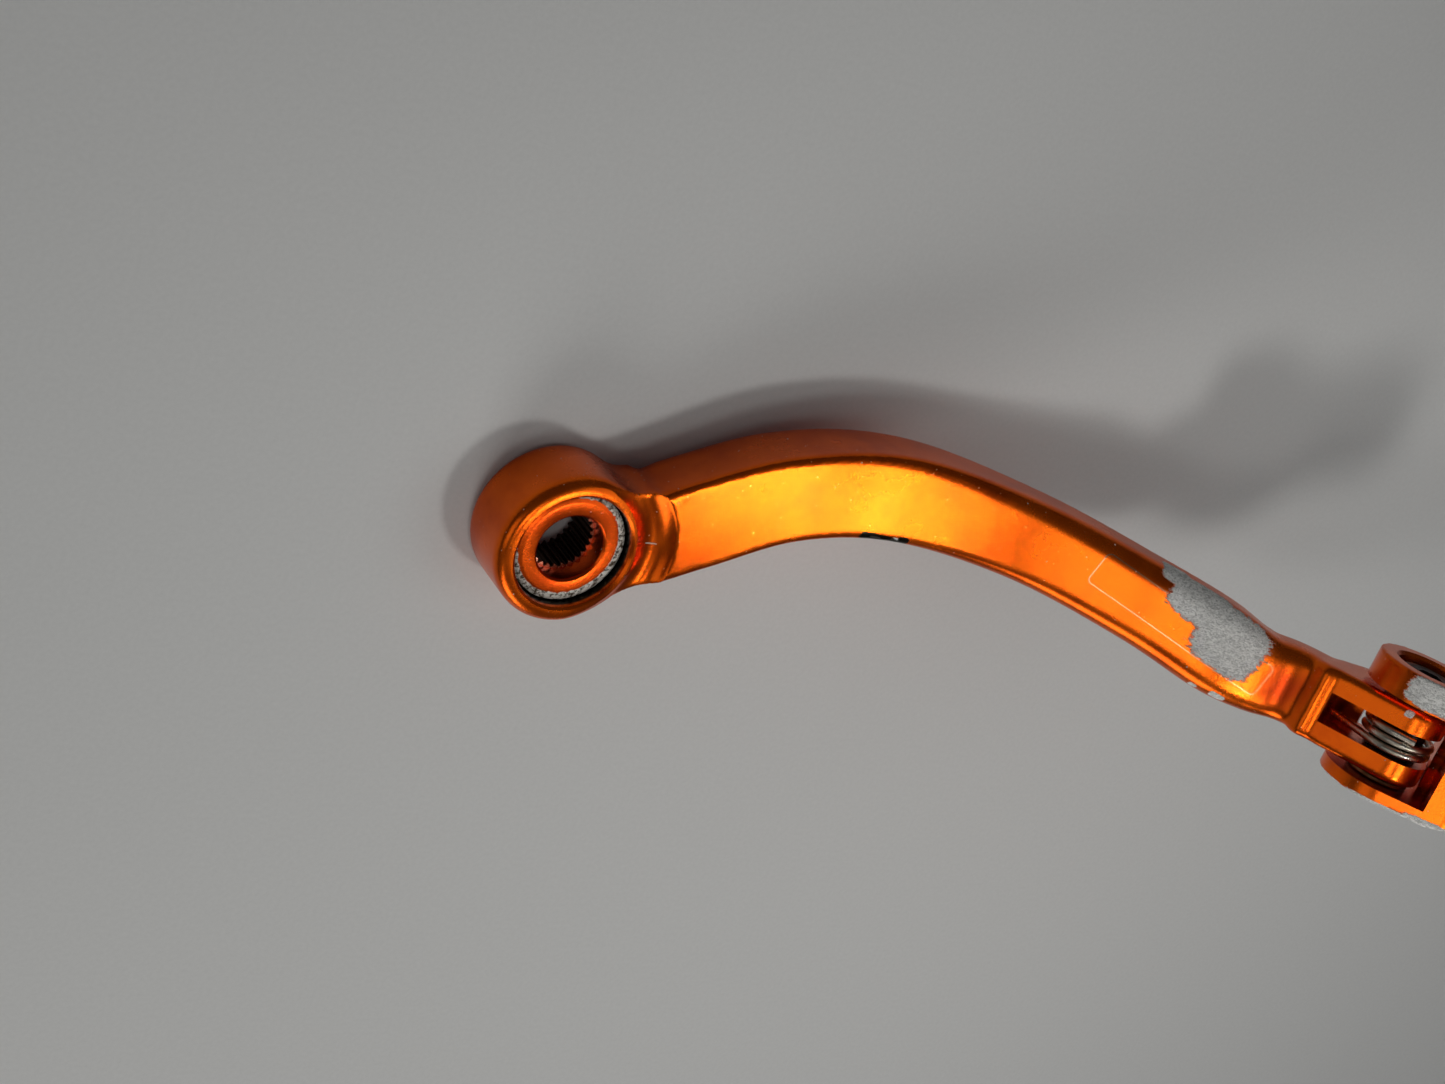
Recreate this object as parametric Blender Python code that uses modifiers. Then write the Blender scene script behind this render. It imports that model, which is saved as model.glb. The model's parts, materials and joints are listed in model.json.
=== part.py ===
"""Splined kick lever with a folding, spring-loaded foot peg at its end.

Metres, +Z up. The origin is on the shaft's axis, in the inboard face of the eye. +Z runs along
the shaft, outboard; +X runs from the eye towards the fork at the lever's end.
"""
import math

import bmesh
import bpy
import numpy as np
from mathutils import Matrix, Vector

for old in list(bpy.data.objects):
    bpy.data.objects.remove(old, do_unlink=True)

MM = 0.001
GAP = 0.3                       # clearance kept between neighbouring pieces, mm

# ---- driving dimensions, mm ----
EYE_RADIUS = 18.0               # the lever's eye, round the shaft
EYE_HEIGHT = 18.0
EYE_TOP_ROUND = 2.8
EYE_FOOT_ROUND = 1.6
BUSH_SEAT_RADIUS = 12.8         # bore of the eye, for the splined bush
RECESS_RADIUS = 13.7            # wider mouth of that bore: the groove round the bush
RECESS_FLOOR = 11.5             # height of the groove's floor
BUSH_TOP = 15.7                 # the bush ends below the eye's rim
BUSH_CHAMFER = 0.9
BUSH_COLLAR_RADIUS = 13.3       # wider top of the bush, inside the recess
SPLINE_TOP = 10.5               # the teeth start here, below a plain counterbore
COUNTERBORE_RADIUS = 7.9
SPLINE_TEETH = 26
SPLINE_MEAN_RADIUS = 7.4
SPLINE_TOOTH_RISE = 0.42

WEB_ROUND = 9.0                 # fillet, in plan, between the eye and the arm's +Y edge
WEB_TOP = 17.4
WEB_HEADING = math.radians(30.3)  # how that edge runs as it leaves the eye
WEB_EDGE_OFFSET = 5.74          # the edge's distance from the shaft's axis

FORK_PIVOT = (188.7, 10.7, 90.8)  # the peg's hinge, on the fork's middle plane
FORK_SLOPE = 57.0               # degrees that the fork leans outboard from the lever's plane
FORK_TWIST = 6.0                # degrees that the fork is turned about its own length
FORK_HALF_WIDTH = 9.5
FORK_RADIUS = 9.2               # half the fork's depth; its ears are round about the hinge
FORK_BLOCK = 20.5               # the block's length behind the hinge
RIDGE_HEIGHT = 1.2              # ridge across the fork's foot, above its open face
SLOT_HALF_WIDTH = 3.9
SLOT_DEPTH = 17.2               # from the hinge back to the slot's end wall
SLOT_FLOOR = 4.8                # the slot's end part stops at a floor, this far past the hinge
SLOT_FLOOR_START = 9.8          # from the hinge back to that floor's edge
SLOT_FLOOR_ROUND = 6.0

EAR_RADIUS = 13.0               # the peg's two ears, outside the fork
EAR_THICKNESS_UPPER = 7.2       # this ear hides the pin's head
EAR_THICKNESS_LOWER = 3.4
FLANGE = 0.8                    # flange of each hinge bush, which spaces ear and fork
POCKET_FLOOR = 12.0             # hinge to the peg's web on the open side
HEEL_STOP = 9.6                 # hinge to the heel pad that stops the peg, on the other side
PEG_LENGTH = 58.0
PEG_SET = 8.0                   # degrees that the resting peg hangs back from the fork's line
PEG_TIP_HALF_WIDTH = 10.5
PEG_TIP_HALF_DEPTH = 8.0
PIN_RADIUS = 4.0
HEAD_RADIUS = 7.4               # pin head, with a hexagon socket
HEAD_HEIGHT = 2.6
SOCKET_ACROSS_FLATS = 6.0
SOCKET_DEPTH = 2.0
CLIP_RADIUS = 6.6
CLIP_THICKNESS = 1.0
EAR_COUNTERBORE = 8.4           # radius of the recess that hides the head
EAR_COUNTERBORE_DEPTH = 4.6
BUSH_WALL = 1.2                 # wall of each hinge bush
WIRE = 1.9                      # spring wire
COIL_RADIUS = 8.0               # middle of the spring wire
SLEEVE_RADIUS = 6.4

# The lever's front face from the eye to the fork: x, y, z of its middle line, then the width
# and the depth of the section there, and how round its front edges are.
ARM = [
    (-1.8, -5.3, 16.0, 22.0, 14.0, 1.2),
    (10.6, -0.1, 17.5, 22.0, 15.4, 1.2),
    (28.9, 10.0, 18.8, 22.2, 17.0, 1.2),
    (49.6, 20.5, 21.6, 21.2, 18.0, 1.4),
    (75.0, 25.5, 26.1, 21.2, 17.0, 2.0),
    (105.0, 23.4, 36.2, 20.4, 14.8, 3.4),
    (132.0, 18.3, 51.5, 20.8, 13.6, 4.2),
    (150.0, 13.8, 63.8, 22.2, 12.8, 4.6),
    (161.0, 11.2, 69.6, 20.0, 12.2, 4.2),
    (165.2, 11.6, 71.5, 19.0, 12.2, 3.6),
    (168.4, 11.7, 77.1, 18.2, 13.0, 3.0),
    (173.6, 11.6, 83.9, 17.6, 13.5, 2.5),
]
ARM_STATIONS = 34
CORNER_STEPS = 4

# ---- collections and materials ----
parts = bpy.data.collections.new("folding_peg_lever")
cutters = bpy.data.collections.new("cutters")
bpy.context.scene.collection.children.link(parts)
bpy.context.scene.collection.children.link(cutters)


def material(name, colour, roughness, metallic):
    """A plain Principled finish."""
    made = bpy.data.materials.new(name)
    made.use_nodes = True
    shader = made.node_tree.nodes["Principled BSDF"]
    shader.inputs["Base Color"].default_value = (*colour, 1.0)
    shader.inputs["Roughness"].default_value = roughness
    shader.inputs["Metallic"].default_value = metallic
    return made


ORANGE = material("orange_anodised", (0.80, 0.19, 0.015), 0.35, 0.9)
RED_ORANGE = material("orange_anodised_bush", (0.72, 0.13, 0.012), 0.38, 0.9)
STEEL = material("bright_spring_steel", (0.62, 0.60, 0.56), 0.3, 1.0)
DARK_STEEL = material("blackened_steel", (0.05, 0.05, 0.055), 0.45, 0.8)
BRONZE = material("sintered_bronze", (0.45, 0.30, 0.14), 0.5, 0.9)


# ---- shape helpers ----
def place(obj, collection, surface=None):
    """Link a new object, give it its finish and hide it where it only cuts."""
    collection.objects.link(obj)
    if surface:
        obj.data.materials.append(surface)
    if collection is cutters:
        obj.hide_render = True
        obj.display_type = "WIRE"
    return obj


def mesh_object(name, mesh_builder, collection, surface=None):
    """An object from a bmesh that is closed and whose faces point out."""
    mesh = bpy.data.meshes.new(name)
    bmesh.ops.recalc_face_normals(mesh_builder, faces=mesh_builder.faces)
    mesh_builder.to_mesh(mesh)
    mesh_builder.free()
    return place(bpy.data.objects.new(name, mesh), collection, surface)


def turned(name, profile, steps, collection, surface=None, matrix=None):
    """A solid of revolution about local Z from (radius, height) points in mm.

    The profile runs down its outer side; a closed ring's last point repeats its first.
    """
    builder = bmesh.new()
    ring = profile[0] == profile[-1]
    corners = profile[:-1] if ring else profile
    points = [builder.verts.new((radius * MM, 0.0, height * MM)) for radius, height in corners]
    for first, second in zip(points, points[1:]):
        builder.edges.new((first, second))
    if ring:
        builder.edges.new((points[-1], points[0]))
    mesh = bpy.data.meshes.new(name)
    builder.to_mesh(mesh)
    builder.free()
    obj = place(bpy.data.objects.new(name, mesh), collection, surface)
    screw = obj.modifiers.new("Screw", "SCREW")
    screw.steps = screw.render_steps = steps
    screw.use_merge_vertices = True
    screw.merge_threshold = 0.00001
    if matrix:
        obj.matrix_world = matrix
    return obj


def plate(name, outline, half_thickness, collection, surface=None, matrix=None, edge=0.0):
    """A flat outline in local XY, thick along local Z, its edges rounded by edge mm."""
    curve = bpy.data.curves.new(name, "CURVE")
    curve.dimensions = "2D"
    curve.fill_mode = "BOTH"
    curve.extrude = (half_thickness - edge) * MM
    if edge:
        curve.bevel_depth = edge * MM
        curve.bevel_resolution = 2
        curve.offset = -edge * MM
    spline = curve.splines.new("POLY")
    spline.points.add(len(outline) - 1)
    for point, (x, y) in zip(spline.points, outline):
        point.co = (x * MM, y * MM, 0.0, 1.0)
    spline.use_cyclic_u = True
    drawn = bpy.data.objects.new(name + "_outline", curve)
    cutters.objects.link(drawn)
    bpy.context.view_layer.update()
    flat = bpy.data.meshes.new_from_object(
        drawn.evaluated_get(bpy.context.evaluated_depsgraph_get()))
    bpy.data.objects.remove(drawn, do_unlink=True)
    builder = bmesh.new()
    builder.from_mesh(flat)
    bmesh.ops.remove_doubles(builder, verts=builder.verts, dist=0.000002)
    obj = mesh_object(name, builder, collection, surface)
    if matrix:
        obj.matrix_world = matrix
    return obj


def combine(obj, other, operation):
    """Join, cut or intersect obj with other by an exact Boolean."""
    change = obj.modifiers.new(other.name, "BOOLEAN")
    change.object = other
    change.operation = operation
    change.solver = "EXACT"


def arc(centre, radius, start, end, steps):
    """Points in mm on an arc, its angles in degrees."""
    angles = [math.radians(start + (end - start) * i / steps) for i in range(steps + 1)]
    return [(centre[0] + radius * math.cos(a), centre[1] + radius * math.sin(a)) for a in angles]


# ---- the fork's own frame: local X runs out along the peg, Y to its open side, Z to +Y ----
slope = math.radians(FORK_SLOPE)
along = Vector((math.cos(slope), 0.0, math.sin(slope)))
open_side = Vector((-math.sin(slope), 0.0, math.cos(slope)))
twist = Matrix.Rotation(math.radians(-FORK_TWIST), 3, along)
open_side = twist @ open_side
hinge_axis = open_side.cross(along)
fork_frame = Matrix.Identity(4)
for column, axis in enumerate((along, open_side, -hinge_axis)):
    for row in range(3):
        fork_frame[row][column] = axis[row]
fork_frame.translation = Vector(FORK_PIVOT) * MM
peg_frame = fork_frame @ Matrix.Rotation(math.radians(-PEG_SET), 4, "Z")


# ---- lever: one forging, with the eye, the curved arm and the fork ----
def arm_value(u):
    """Catmull-Rom value of every ARM column at u from 0 to 1."""
    rows = np.array([ARM[0]] + ARM + [ARM[-1]], dtype=float)
    rows[0] = 2 * rows[1] - rows[2]
    rows[-1] = 2 * rows[-2] - rows[-3]
    spans = len(ARM) - 1
    place_on = min(u, 1.0) * spans
    span = min(int(place_on), spans - 1)
    t = place_on - span
    a, b, c, d = rows[span:span + 4]
    return 0.5 * (2 * b + (c - a) * t + (2 * a - 5 * b + 4 * c - d) * t ** 2
                  + (3 * b - a - 3 * c + d) * t ** 3)


def arm_section(u):
    """The arm's outline at u: a rounded box that hangs behind the front face's line."""
    here = arm_value(u)
    step = 0.002
    run = Vector(arm_value(min(u + step, 1.0))[:3] - arm_value(max(u - step, 0.0))[:3])
    run.normalize()
    face = Vector((-run.z, 0.0, run.x)).normalized()
    turn = Matrix.Rotation(math.radians(-FORK_TWIST) * min(here[0] / FORK_PIVOT[0], 1.0), 3, run)
    face = turn @ face
    side = face.cross(run).normalized()
    width, depth, round_front = here[3:6]
    round_back = 2.5
    half = width / 2
    corners = [
        (half - round_front, -round_front, round_front, 0),
        (-half + round_front, -round_front, round_front, 90),
        (-half + round_back, -depth + round_back, round_back, 180),
        (half - round_back, -depth + round_back, round_back, 270),
    ]
    points = []
    for across, down, radius, start in corners:
        points += arc((across, down), radius, start, start + 90, CORNER_STEPS)
    middle = Vector(here[:3])
    return [(middle + side * a + face * b) * MM for a, b in points]


builder = bmesh.new()
rings = []
for station in range(ARM_STATIONS + 1):
    rings.append([builder.verts.new(p) for p in arm_section(station / ARM_STATIONS)])
for ring, following in zip(rings, rings[1:]):
    for i in range(len(ring)):
        j = (i + 1) % len(ring)
        builder.faces.new((ring[i], ring[j], following[j], following[i]))
builder.faces.new(rings[0])
builder.faces.new(rings[-1])
lever = mesh_object("lever", builder, parts, ORANGE)

eye_profile = [(0.0, EYE_HEIGHT)]
eye_profile += [(x, z) for x, z in reversed(
    arc((EYE_RADIUS - EYE_TOP_ROUND, EYE_HEIGHT - EYE_TOP_ROUND), EYE_TOP_ROUND, 0, 90, 6))]
eye_profile += [(x, z) for x, z in reversed(
    arc((EYE_RADIUS - EYE_FOOT_ROUND, EYE_FOOT_ROUND), EYE_FOOT_ROUND, 270, 360, 3))]
eye_profile += [(0.0, 0.0)]
eye = turned("eye_blank", eye_profile, 72, cutters)
combine(lever, eye, "UNION")

fork_outline = arc((0.0, 0.0), FORK_RADIUS, 0, 90, 14)
fork_outline += [(-FORK_BLOCK + 2.5, FORK_RADIUS), (-FORK_BLOCK + 0.7, FORK_RADIUS + RIDGE_HEIGHT)]
fork_outline += [(-FORK_BLOCK - 0.7, FORK_RADIUS + RIDGE_HEIGHT), (-FORK_BLOCK - 3.5, 8.0)]
fork_outline += [(-FORK_BLOCK, -FORK_RADIUS + 5.0), (-FORK_BLOCK + 7.0, -FORK_RADIUS)]
heel = arc((FORK_RADIUS - 2.0, -FORK_RADIUS + 2.4), 2.0, 270, 360, 4) + [(FORK_RADIUS, -1.0)]
turn = math.radians(-PEG_SET)
fork_outline += [(x * math.cos(turn) - y * math.sin(turn), x * math.sin(turn) + y * math.cos(turn))
                 for x, y in heel]
fork = plate("fork_blank", fork_outline, FORK_HALF_WIDTH, cutters, matrix=fork_frame, edge=1.0)
combine(lever, fork, "UNION")

web_across = Vector((-math.sin(WEB_HEADING), math.cos(WEB_HEADING)))
web_centre = Vector((math.cos(WEB_HEADING), math.sin(WEB_HEADING))) * math.sqrt(
    (EYE_RADIUS + WEB_ROUND) ** 2 - (WEB_EDGE_OFFSET + WEB_ROUND) ** 2)
web_centre += web_across * (WEB_EDGE_OFFSET + WEB_ROUND)
web_start = math.degrees(math.atan2(web_centre.y, web_centre.x)) + 180.0
web_outline = arc(web_centre, WEB_ROUND, web_start, math.degrees(WEB_HEADING) + 270.0, 12)
web_outline += [(10.0, 4.0), (4.0, 10.0)]
web_frame = Matrix.Translation((0.0, 0.0, WEB_TOP / 2 * MM))
web = plate("saddle_web", web_outline, WEB_TOP / 2 - 0.1, cutters, matrix=web_frame)
combine(lever, web, "UNION")

seat = turned("bush_seat", [
    (0.0, EYE_HEIGHT + 2.0), (RECESS_RADIUS + 0.8, EYE_HEIGHT + 2.0),
    (RECESS_RADIUS + 0.8, EYE_HEIGHT), (RECESS_RADIUS, EYE_HEIGHT - 0.8),
    (RECESS_RADIUS, RECESS_FLOOR), (BUSH_SEAT_RADIUS, RECESS_FLOOR),
    (BUSH_SEAT_RADIUS, -2.0), (0.0, -2.0)], 72, cutters)
combine(lever, seat, "DIFFERENCE")
slot_outline = [(30.0, 30.0), (-SLOT_DEPTH, 30.0)]
slot_outline += arc((SLOT_FLOOR_ROUND - SLOT_DEPTH, SLOT_FLOOR_ROUND - SLOT_FLOOR),
                    SLOT_FLOOR_ROUND, 180, 270, 8)
slot_outline += [(-SLOT_FLOOR_START, -SLOT_FLOOR), (-SLOT_FLOOR_START, -30.0), (30.0, -30.0)]
slot = plate("fork_slot", slot_outline, SLOT_HALF_WIDTH, cutters, matrix=fork_frame)
combine(lever, slot, "DIFFERENCE")
bush_outer = PIN_RADIUS + GAP + BUSH_WALL
hinge_bore = turned("fork_bore", [
    (0.0, 20.0), (bush_outer + GAP, 20.0), (bush_outer + GAP, -20.0), (0.0, -20.0)],
    40, cutters, matrix=fork_frame)
combine(lever, hinge_bore, "DIFFERENCE")

# ---- splined bush, pressed into the eye ----
bush_body = BUSH_SEAT_RADIUS - GAP
spline_bush = turned("spline_bush", [
    (0.0, BUSH_TOP), (BUSH_COLLAR_RADIUS - BUSH_CHAMFER, BUSH_TOP),
    (BUSH_COLLAR_RADIUS, BUSH_TOP - BUSH_CHAMFER), (BUSH_COLLAR_RADIUS, RECESS_FLOOR + GAP),
    (bush_body, RECESS_FLOOR + GAP), (bush_body, 0.0), (0.0, 0.0)], 72, parts, RED_ORANGE)
counterbore = turned("bush_counterbore", [
    (0.0, BUSH_TOP + 2.0), (COUNTERBORE_RADIUS + 0.5, BUSH_TOP + 2.0),
    (COUNTERBORE_RADIUS + 0.5, BUSH_TOP), (COUNTERBORE_RADIUS, BUSH_TOP - 0.5),
    (COUNTERBORE_RADIUS, SPLINE_TOP), (0.0, SPLINE_TOP)], 72, cutters)
combine(spline_bush, counterbore, "DIFFERENCE")
builder = bmesh.new()
toothed = []
for i in range(SPLINE_TEETH * 6):
    angle = math.tau * i / (SPLINE_TEETH * 6)
    radius = SPLINE_MEAN_RADIUS - SPLINE_TOOTH_RISE * math.cos(SPLINE_TEETH * angle)
    toothed.append(builder.verts.new((radius * math.cos(angle) * MM, radius * math.sin(angle) * MM,
                                      -2.0 * MM)))
spline_face = builder.faces.new(toothed)
grown = bmesh.ops.extrude_face_region(builder, geom=[spline_face])
bmesh.ops.translate(builder, vec=(0.0, 0.0, (SPLINE_TOP + 3.0) * MM),
                    verts=[v for v in grown["geom"] if isinstance(v, bmesh.types.BMVert)])
spline_hole = mesh_object("spline_hole", builder, cutters)
combine(spline_bush, spline_hole, "DIFFERENCE")

# ---- peg: a clevis over the fork that runs out into a grooved foot bar ----
ear_inner = FORK_HALF_WIDTH + GAP + FLANGE + GAP
ear_upper = -(ear_inner + EAR_THICKNESS_UPPER)   # local Z of the outer faces; the upper ear is
ear_lower = ear_inner + EAR_THICKNESS_LOWER      # the one towards the lever's +Y side
peg_middle = (ear_upper + ear_lower) / 2
peg_half_width = (ear_lower - ear_upper) / 2
side_outline = arc((0.0, 0.0), EAR_RADIUS, 82, 278, 30)
side_outline += [(17.0, -EAR_RADIUS + 1.6), (28.0, -PEG_TIP_HALF_DEPTH)]
side_outline += arc((PEG_LENGTH - 3.0, -PEG_TIP_HALF_DEPTH + 3.0), 3.0, 270, 360, 4)
side_outline += arc((PEG_LENGTH - 3.0, PEG_TIP_HALF_DEPTH - 3.0), 3.0, 0, 90, 4)
side_outline += [(28.0, PEG_TIP_HALF_DEPTH), (17.0, EAR_RADIUS - 1.6)]
middle_frame = peg_frame @ Matrix.Translation((0.0, 0.0, peg_middle * MM))
peg = plate("peg", side_outline, peg_half_width, parts, ORANGE, middle_frame, edge=1.2)
front_outline = [(-20.0, ear_upper), (14.0, ear_upper), (30.0, -PEG_TIP_HALF_WIDTH)]
front_outline += arc((PEG_LENGTH - 3.0, -PEG_TIP_HALF_WIDTH + 3.0), 3.0, 270, 360, 4)
front_outline += arc((PEG_LENGTH - 3.0, PEG_TIP_HALF_WIDTH - 3.0), 3.0, 0, 90, 4)
front_outline += [(30.0, PEG_TIP_HALF_WIDTH), (14.0, ear_lower), (-20.0, ear_lower)]
quarter_turn = Matrix.Rotation(math.pi / 2, 4, "X")
front_form = plate("peg_front_form", front_outline, 20.0, cutters,
                   matrix=peg_frame @ quarter_turn)
combine(peg, front_form, "INTERSECT")
pocket_outline = [(-20.0, -20.0), (HEEL_STOP, -20.0), (HEEL_STOP, 0.0)]
pocket_outline += [(POCKET_FLOOR, 1.5), (POCKET_FLOOR, 20.0), (-20.0, 20.0)]
pocket = plate("peg_pocket", pocket_outline, ear_inner, cutters, matrix=peg_frame)
combine(peg, pocket, "DIFFERENCE")
head_seat = ear_upper + EAR_COUNTERBORE_DEPTH
peg_bore = turned("peg_bore", [
    (0.0, 20.0), (PIN_RADIUS + GAP, 20.0), (PIN_RADIUS + GAP, head_seat),
    (EAR_COUNTERBORE, head_seat), (EAR_COUNTERBORE, ear_upper + 0.8),
    (EAR_COUNTERBORE + 0.8, ear_upper), (EAR_COUNTERBORE + 0.8, -20.0), (0.0, -20.0)],
    48, cutters, matrix=peg_frame)
combine(peg, peg_bore, "DIFFERENCE")

GROOVES = 6
GROOVE_PITCH = 3.6
GROOVE_WIDTH = 1.5
GROOVE_DEPTH = 1.1
groove_builder = bmesh.new()
for i in range(GROOVES):
    start = PEG_LENGTH - 6.5 - GROOVE_PITCH * i
    for side in (-1, 1):
        middle = Vector((start, 0.0, side * (PEG_TIP_HALF_WIDTH + 2.0)))
        cut = bmesh.ops.create_cube(groove_builder, size=1.0)["verts"]
        bmesh.ops.scale(groove_builder, vec=(GROOVE_WIDTH * MM, 30 * MM, (4 + 2 * GROOVE_DEPTH) * MM),
                        verts=cut)
        bmesh.ops.translate(groove_builder, vec=middle * MM, verts=cut)
grooves = mesh_object("peg_grooves", groove_builder, cutters)
grooves.matrix_world = peg_frame
combine(peg, grooves, "DIFFERENCE")

# ---- hinge: headed pin, its clip, two flanged bushes, the sleeve and the torsion spring ----
head_top = head_seat - GAP - HEAD_HEIGHT
clip_low = ear_lower + GAP
clip_high = clip_low + CLIP_THICKNESS
pin_end = clip_high + 0.7
clip_groove = 0.5
pivot_pin = turned("pivot_pin", [
    (0.0, pin_end), (PIN_RADIUS - 0.4, pin_end), (PIN_RADIUS, pin_end - 0.4),
    (PIN_RADIUS, clip_high + 0.1), (PIN_RADIUS - clip_groove, clip_high + 0.1),
    (PIN_RADIUS - clip_groove, clip_low - 0.1), (PIN_RADIUS, clip_low - 0.1),
    (PIN_RADIUS, head_seat - GAP), (HEAD_RADIUS, head_seat - GAP),
    (HEAD_RADIUS, head_top + 0.5), (HEAD_RADIUS - 0.5, head_top), (0.0, head_top)],
    40, parts, DARK_STEEL, peg_frame)
socket_builder = bmesh.new()
bmesh.ops.create_cone(socket_builder, cap_ends=True, segments=6,
                      radius1=SOCKET_ACROSS_FLATS / math.sqrt(3) * MM,
                      radius2=SOCKET_ACROSS_FLATS / math.sqrt(3) * MM, depth=2 * SOCKET_DEPTH * MM)
socket = mesh_object("pin_socket", socket_builder, cutters)
socket.matrix_world = peg_frame @ Matrix.Translation((0.0, 0.0, head_top * MM))
combine(pivot_pin, socket, "DIFFERENCE")

clip_outline = arc((0.0, 0.0), CLIP_RADIUS, 35, 325, 26)
clip_outline += reversed(arc((0.0, 0.0), PIN_RADIUS - clip_groove + 0.12, 50, 310, 22))
clip_frame = peg_frame @ Matrix.Translation((0.0, 0.0, (clip_low + clip_high) / 2 * MM))
plate("pin_clip", clip_outline, CLIP_THICKNESS / 2, parts, STEEL, clip_frame)

flange_radius = bush_outer + 2.0
for name, side in (("fork_bush_upper", -1), ("fork_bush_lower", 1)):
    face = FORK_HALF_WIDTH + GAP
    flipped = fork_frame @ Matrix.Rotation(0.0 if side > 0 else math.pi, 4, "X")
    profile = [(PIN_RADIUS + 0.1, face + FLANGE), (flange_radius, face + FLANGE),
               (flange_radius, face), (bush_outer, face), (bush_outer, SLOT_HALF_WIDTH),
               (PIN_RADIUS + 0.1, SLOT_HALF_WIDTH), (PIN_RADIUS + 0.1, face + FLANGE)]
    turned(name, profile, 40, parts, BRONZE, flipped)

sleeve_end = SLOT_HALF_WIDTH - GAP
turned("spring_sleeve", [
    (PIN_RADIUS + 0.1, sleeve_end), (SLEEVE_RADIUS, sleeve_end), (SLEEVE_RADIUS, -sleeve_end),
    (PIN_RADIUS + 0.1, -sleeve_end), (PIN_RADIUS + 0.1, sleeve_end)], 40, parts, DARK_STEEL,
    fork_frame)

COIL_TURNS = 2.0
COIL_STEPS = 26                  # points in a turn
LEG_ANGLE = 120                  # where the fork's leg leaves the coil, degrees
coil_pitch = WIRE + 0.35
bottom = -coil_pitch * COIL_TURNS / 2
start = Vector((math.cos(math.radians(LEG_ANGLE)), math.sin(math.radians(LEG_ANGLE)))) * COIL_RADIUS
tangent = Vector((start.y, -start.x)).normalized()
leg_run = (start.x + SLOT_DEPTH - 1.6) / tangent.x
wire_path = [(*(start - tangent * leg_run), -bottom), (*(start - tangent * leg_run / 2), -bottom)]
total_turn = 360.0 * COIL_TURNS + LEG_ANGLE - 90.0
steps = round(total_turn / 360.0 * COIL_STEPS)
for i in range(steps + 1):
    angle = math.radians(LEG_ANGLE - total_turn * i / steps)
    height = -bottom + 2 * bottom * i / steps
    wire_path.append((COIL_RADIUS * math.cos(angle), COIL_RADIUS * math.sin(angle), height))
wire_path.append((POCKET_FLOOR - 4.0, COIL_RADIUS, bottom))
wire = bpy.data.curves.new("fold_spring", "CURVE")
wire.dimensions = "3D"
wire.bevel_depth = WIRE / 2 * MM
wire.bevel_resolution = 2
wire.use_fill_caps = True
spline = wire.splines.new("POLY")
spline.points.add(len(wire_path) - 1)
for point, position in zip(spline.points, wire_path):
    point.co = (*[value * MM for value in position], 1.0)
wire.materials.append(STEEL)
spring = bpy.data.objects.new("fold_spring", wire)
spring.matrix_world = fork_frame
parts.objects.link(spring)

for obj in parts.objects:
    if obj.type == "MESH":
        obj.data.shade_smooth()
        obj.data.set_sharp_from_angle(angle=math.radians(30))
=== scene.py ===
import json
import math

import bpy
from mathutils import Matrix, Vector


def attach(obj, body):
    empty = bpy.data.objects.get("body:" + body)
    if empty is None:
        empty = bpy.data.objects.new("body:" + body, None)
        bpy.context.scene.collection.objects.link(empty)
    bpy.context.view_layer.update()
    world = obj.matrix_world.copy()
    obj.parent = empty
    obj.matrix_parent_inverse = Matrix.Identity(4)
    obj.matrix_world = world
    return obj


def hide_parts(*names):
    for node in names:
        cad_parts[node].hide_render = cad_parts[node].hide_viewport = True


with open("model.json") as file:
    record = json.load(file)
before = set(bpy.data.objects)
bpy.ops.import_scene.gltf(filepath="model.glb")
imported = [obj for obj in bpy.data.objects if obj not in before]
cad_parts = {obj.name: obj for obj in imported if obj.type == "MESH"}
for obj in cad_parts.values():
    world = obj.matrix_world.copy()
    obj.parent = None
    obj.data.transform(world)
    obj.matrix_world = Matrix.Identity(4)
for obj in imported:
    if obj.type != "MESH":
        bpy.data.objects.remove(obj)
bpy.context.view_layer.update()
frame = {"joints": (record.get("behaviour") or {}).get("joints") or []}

# ---- Camera, floor and lights ----
# A high three-quarter view that looks down the shaft's axis at a slant, a plain pale floor and a
# dim room. Two small boxes give the highlights at the bends, a broad one fills the front face,
# a low one lights the floor, and two more catch the front edge and the fork.
camera_data = bpy.data.cameras.new("camera")
camera_data.lens = 54.09
camera_data.sensor_width = 36.0
camera_data.clip_start = 0.01
camera = bpy.data.objects.new("camera", camera_data)
camera.location = (-0.2317, 0.1897, 0.3842)
camera.rotation_euler = (-0.5849, -0.4554, 0.3846)
bpy.context.scene.collection.objects.link(camera)
bpy.context.scene.camera = camera
bpy.context.scene.view_settings.view_transform = "Standard"


def soft_box(name, towards, aim, distance, size, power, colour):
    """A square soft box, at a distance from the point that it aims at."""
    lamp = bpy.data.lights.new(name, "AREA")
    lamp.size = size
    lamp.energy = power
    lamp.color = colour
    holder = bpy.data.objects.new(name, lamp)
    direction = Vector(towards).normalized()
    holder.location = Vector(aim) + direction * distance
    holder.rotation_euler = direction.to_track_quat("Z", "Y").to_euler()
    bpy.context.scene.collection.objects.link(holder)


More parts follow.
